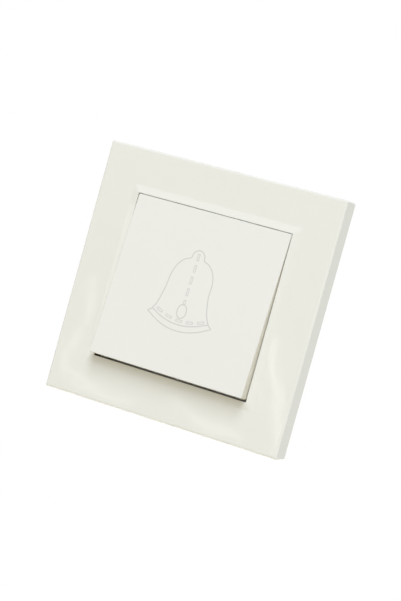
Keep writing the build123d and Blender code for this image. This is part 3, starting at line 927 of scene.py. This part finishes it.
class SetStage(bpy.types.Operator):
    """Set up the floor, the light and the camera"""

    bl_idname = "bell_push.set_stage"
    bl_label = "Set stage"

    floor_side = 6.0
    floor_behind = 0.28
    floor_tone = (0.6, 0.55, 0.44)
    floor_rough = 0.9
    shadow_reach = (0.4, 1.0)
    edge_fade = 0.1
    surround_tone = (1.0, 0.965, 0.87)

    # Place, width and height in metres, and colour of each lamp
    lamps = {
        "key": ((0.5, -2.1, 1.9), (1.2, 2.4), (0.86, 0.90, 1.0)),
        "fill": ((1.45, 0.4, 0.3), (0.8, 0.8), (0.76, 0.87, 1.0)),
        "back": ((-0.8, 2.0, 0.4), (0.9, 0.6), WHITE),
        "low": ((0, 0.03, -0.13), (0.12, 0.02), WHITE),
    }

    # Width, strength and points of each strip, across and up in metres
    strip_distance = -1.0
    gloss_strips = {
        "left_strip": (
            0.005,
            3.2,
            ((-0.510, -0.045), (-0.508, -0.1), (-0.518, -0.132), (-0.47, -0.145), (-0.44, -0.148)),
        ),
        "low_strip": (0.005, 3.2, ((-0.4, -0.134), (-0.361, -0.146), (-0.32, -0.147))),
        "right_strip": (
            0.008,
            3.2,
            ((-0.318, -0.05), (-0.316, -0.068), (-0.295, -0.107), (-0.285, -0.149)),
        ),
        "collar_panel": (0.5, 2.2, ((-1.05, -0.13), (-1.05, 0.035))),
    }

    def execute(self, context):
        settings = context.scene.bell_push_stage
        context.scene.view_settings.view_transform = "Standard"
        self.lay_floor(settings)
        self.light_surround(context.scene, settings)
        for name, (place, size, colour) in self.lamps.items():
            self.hang_lamp(f"{name}_lamp", place, size, getattr(settings, f"{name}_power"), colour)
        self.hang_gloss_strips()
        self.stand_camera(context.scene, settings)
        return {"FINISHED"}

    def lay_floor(self, settings):
        """Floor that the camera sees as white, apart from the object's shadow."""
        bm = bmesh.new()
        middle = self.floor_behind - self.floor_side / 2
        level = Matrix.Translation((0, middle, cad_box[0].z - settings.floor_drop))
        bmesh.ops.create_grid(bm, x_segments=4, y_segments=4, size=self.floor_side / 2, matrix=level)
        mesh = bpy.data.meshes.new("floor")
        bm.to_mesh(mesh)
        bm.free()
        material, tree, shader = start_finish("pale_floor")
        shader.inputs["Base Color"].default_value = (*self.floor_tone, 1)
        shader.inputs["Roughness"].default_value = self.floor_rough
        distance = tree.nodes.new("ShaderNodeVectorMath")
        distance.operation = "LENGTH"
        tree.links.new(object_place(tree), distance.inputs[0])
        away = ramp(tree, distance.outputs["Value"], *self.shadow_reach)
        edge = share_along(tree, (0, 1, 0), self.floor_behind - self.edge_fade, self.floor_behind)
        lacking = [1 - channel for channel in self.floor_tone]
        glow = mixed(tree, larger(tree, away, edge), lacking, WHITE)
        tree.links.new(glow, shader.inputs["Emission Color"])
        tree.links.new(self.seen_directly(tree), shader.inputs["Emission Strength"])
        mesh.materials.append(material)
        floor = bpy.data.objects.new("floor", mesh)
        floor.visible_glossy = False
        bpy.context.scene.collection.objects.link(floor)

    def seen_directly(self, tree):
        """Strength of 1 for what the camera sees, also in gloss and through glass, and of 0 for light."""
        path = tree.nodes.new("ShaderNodeLightPath")
        value = path.outputs["Is Camera Ray"]
        for ray in ("Is Glossy Ray", "Is Transmission Ray"):
            value = larger(tree, value, path.outputs[ray])
        return value

    def light_surround(self, scene, settings):
        """White surround, dimmer as a light than as a background."""
        world = bpy.data.worlds.new("white_surround")
        world.use_nodes = True
        tree = world.node_tree
        background = tree.nodes["Background"]
        background.inputs["Strength"].default_value = 1
        dimmed = [channel * settings.surround for channel in self.surround_tone]
        tree.links.new(mixed(tree, self.seen_directly(tree), dimmed, WHITE), background.inputs["Color"])
        scene.world = world

    def hang_gloss_strips(self):
        """Bent bright strips that only gloss shows, in front of the object and to its left."""
        upright = Matrix.Translation((0, self.strip_distance, 0)) @ Matrix.Rotation(math.pi / 2, 4, "X")
        for name, (width, strength, points) in self.gloss_strips.items():
            material, _, shader = start_finish(name)
            shader.inputs["Base Color"].default_value = (0, 0, 0, 1)
            shader.inputs["Emission Color"].default_value = (*WHITE, 1)
            shader.inputs["Emission Strength"].default_value = strength
            curve = new_drawing(name, width)
            add_line(curve, points)
            bm = drawn_lines(curve)
            bmesh.ops.transform(bm, matrix=upright, verts=bm.verts)
            mesh = bpy.data.meshes.new(name)
            bm.to_mesh(mesh)
            bm.free()
            mesh.materials.append(material)
            strip = bpy.data.objects.new(name, mesh)
            strip.visible_camera = False
            strip.visible_diffuse = False
            strip.visible_transmission = False
            strip.visible_shadow = False
            bpy.context.scene.collection.objects.link(strip)

    def hang_lamp(self, name, place, size, power, colour):
        """Soft lamp, this wide and high, that faces the object."""
        data = bpy.data.lights.new(name, "AREA")
        data.shape = "RECTANGLE"
        data.size, data.size_y = size
        data.energy = power
        data.color = colour
        lamp = bpy.data.objects.new(name, data)
        lamp.location = place
        lamp.visible_glossy = False
        lamp.rotation_euler = (-Vector(place)).to_track_quat("-Z", "Y").to_euler()
        bpy.context.scene.collection.objects.link(lamp)

    def stand_camera(self, scene, settings):
        """Camera with the photograph's view."""
        data = bpy.data.cameras.new("camera")
        data.lens = settings.lens
        data.sensor_width = 36
        camera = bpy.data.objects.new("camera", data)
        turn = (
            Matrix.Rotation(settings.camera_yaw, 4, "Z")
            @ Matrix.Rotation(math.pi / 2 + settings.camera_pitch, 4, "X")
            @ Matrix.Rotation(settings.camera_roll, 4, "Z")
        )
        camera.matrix_world = Matrix.Translation(settings.camera_place) @ turn
        scene.collection.objects.link(camera)
        scene.camera = camera


class BellPushPanel(bpy.types.Panel):
    """Steps that dress the bell push"""

    bl_idname = "VIEW3D_PT_bell_push"
    bl_label = "Bell push"
    bl_space_type = "VIEW_3D"
    bl_region_type = "UI"
    bl_category = "Bell push"

    def draw(self, context):
        for step in STEPS:
            self.layout.operator(step.bl_idname)


GROUPS = {
    "bell_push_sign": BellSignSettings,
    "bell_push_fasteners": FastenerSettings,
    "bell_push_finish": FinishSettings,
    "bell_push_stage": StageSettings,
}
STEPS = (FinishMouldings, FinishMetals, PrintBellSign, CutScrews, SetRivets, WindSprings, SetStage)


def register():
    for group in GROUPS.values():
        bpy.utils.register_class(group)
    for name, group in GROUPS.items():
        setattr(bpy.types.Scene, name, PointerProperty(type=group))
    for step in STEPS:
        bpy.utils.register_class(step)
    bpy.utils.register_class(BellPushPanel)


def unregister():
    bpy.utils.unregister_class(BellPushPanel)
    for step in reversed(STEPS):
        bpy.utils.unregister_class(step)
    for name in GROUPS:
        delattr(bpy.types.Scene, name)
    for group in GROUPS.values():
        bpy.utils.unregister_class(group)


def main():
    register()
    bpy.ops.bell_push.finish_mouldings()
    bpy.ops.bell_push.finish_metals()
    bpy.ops.bell_push.print_sign()
    bpy.ops.bell_push.cut_screws()
    bpy.ops.bell_push.set_rivets()
    bpy.ops.bell_push.wind_springs()
    bpy.ops.bell_push.set_stage()


if __name__ == "__main__":
    main()
